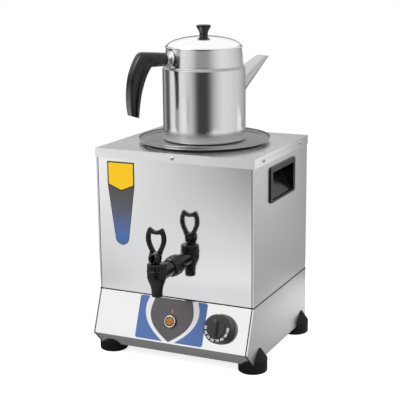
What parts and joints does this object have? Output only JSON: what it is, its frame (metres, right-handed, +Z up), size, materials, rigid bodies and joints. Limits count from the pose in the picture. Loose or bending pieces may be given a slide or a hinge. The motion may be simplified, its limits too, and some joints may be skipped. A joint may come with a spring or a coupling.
{
  "type": "hot_water_urn",
  "caption": "Square stainless hot water urn with a black lever tap, a thermostat knob and lamp on its sloping base, and a teapot on the plate over its tank.",
  "frame": {"origin": "middle of the bounding box on the floor plane, under the feet", "axes": "+X to the right side seen from the front, +Y to the back, +Z up"},
  "size_m": [0.326, 0.3684, 0.5835],
  "materials": {
    "sheet_steel": "satin stainless sheet",
    "polished_steel": "mirror-polished stainless sheet",
    "zinc_plated": "zinc plated steel",
    "element_steel": "heat-tinted stainless tube",
    "brass": "plain brass and copper",
    "black_plastic": "satin black moulding",
    "black_gloss": "glossy black moulding",
    "pale_plastic": "natural acetal",
    "cream_plastic": "cream moulded insulator",
    "silicone": "red silicone rubber",
    "wire_sleeve": "heat-proof wire sleeving",
    "badge_print": "printed foil, grey running into blue",
    "label_print": "printed blue and grey foil",
    "amber_lens": "clear amber lens"
  },
  "bodies": {
    "cabinet": {"top_cover": "sheet_steel", "cover_screws": "zinc_plated", "front_panel": "polished_steel", "casing_wrap": "sheet_steel", "deck_plate": "zinc_plated", "base_front": "polished_steel", "base_wrap": "sheet_steel", "bottom_plate": "zinc_plated", "bottom_screws": "zinc_plated", "foot_front_left": "black_plastic", "foot_front_right": "black_plastic", "foot_rear_left": "black_plastic", "foot_rear_right": "black_plastic", "foot_screws": "zinc_plated", "handle_cup_left": "black_gloss", "handle_cup_right": "black_gloss", "badge": "badge_print", "control_label": "label_print", "water_tank": "polished_steel", "tank_legs": "zinc_plated", "mouth_gasket": "silicone", "heating_element": "element_steel", "element_nuts": "brass", "limit_cutout": "cream_plastic", "thermostat_body": "cream_plastic", "thermostat_screws": "zinc_plated", "thermostat_bulb": "brass", "terminal_block": "cream_plastic", "earth_stud": "brass", "cable_gland": "black_plastic", "wiring": "wire_sleeve", "lamp_body": "black_plastic", "lamp_collar": "black_plastic", "lamp_ring": "polished_steel", "lamp_lens": "amber_lens", "tap_body": "black_gloss", "tap_bonnet": "black_gloss", "tap_collar": "black_gloss", "tap_gasket": "silicone", "tap_nut": "zinc_plated", "tap_spring": "zinc_plated"},
    "tap_stem": {"tap_stem": "pale_plastic", "tap_seat_cup": "silicone"},
    "tap_lever": {"tap_lever": "black_gloss", "tap_pin": "zinc_plated"},
    "thermostat": {"thermostat_knob": "black_gloss", "thermostat_shaft": "zinc_plated"},
    "plate": {"pot_plate": "polished_steel"},
    "teapot": {"pot_body": "polished_steel", "pot_spout": "polished_steel", "pot_ferrule": "polished_steel", "pot_grip": "black_gloss", "pot_grip_screw": "zinc_plated"},
    "lid": {"pot_lid": "polished_steel", "pot_lid_knob": "black_gloss", "pot_lid_screw": "zinc_plated"}
  },
  "joints": [
    {"name": "tap_rise", "type": "slide", "parent": "cabinet", "child": "tap_stem", "axis": [0, 0, 1], "range_m": [0, 0.00353], "stiffness_N_per_m": 30, "springref_m": -0.01, "deforming": ["tap_spring"]},
    {"name": "tap_lever", "type": "hinge", "parent": "tap_stem", "child": "tap_lever", "pos_m": [0, -0.1671, 0.212], "axis": [1, 0, 0], "range_deg": [0, 45]},
    {"name": "thermostat_turn", "type": "hinge", "parent": "cabinet", "child": "thermostat", "pos_m": [0.095, -0.11772, 0.08155], "axis": [0, 0.9297, -0.3683], "range_deg": [0, 270]},
    {"name": "plate_lift", "type": "slide", "parent": "cabinet", "child": "plate", "axis": [0, 0, 1], "range_m": [0, 0.1]},
    {"name": "pot_lift", "type": "slide", "parent": "plate", "child": "teapot", "axis": [0, 0, 1], "range_m": [0, 0.12]},
    {"name": "lid_lift", "type": "slide", "parent": "teapot", "child": "lid", "axis": [0, 0, 1], "range_m": [0, 0.06]}
  ],
  "couplings": [
    {"joint": "tap_lever", "follows": "tap_rise", "rad_per_m": 222.22}
  ]
}
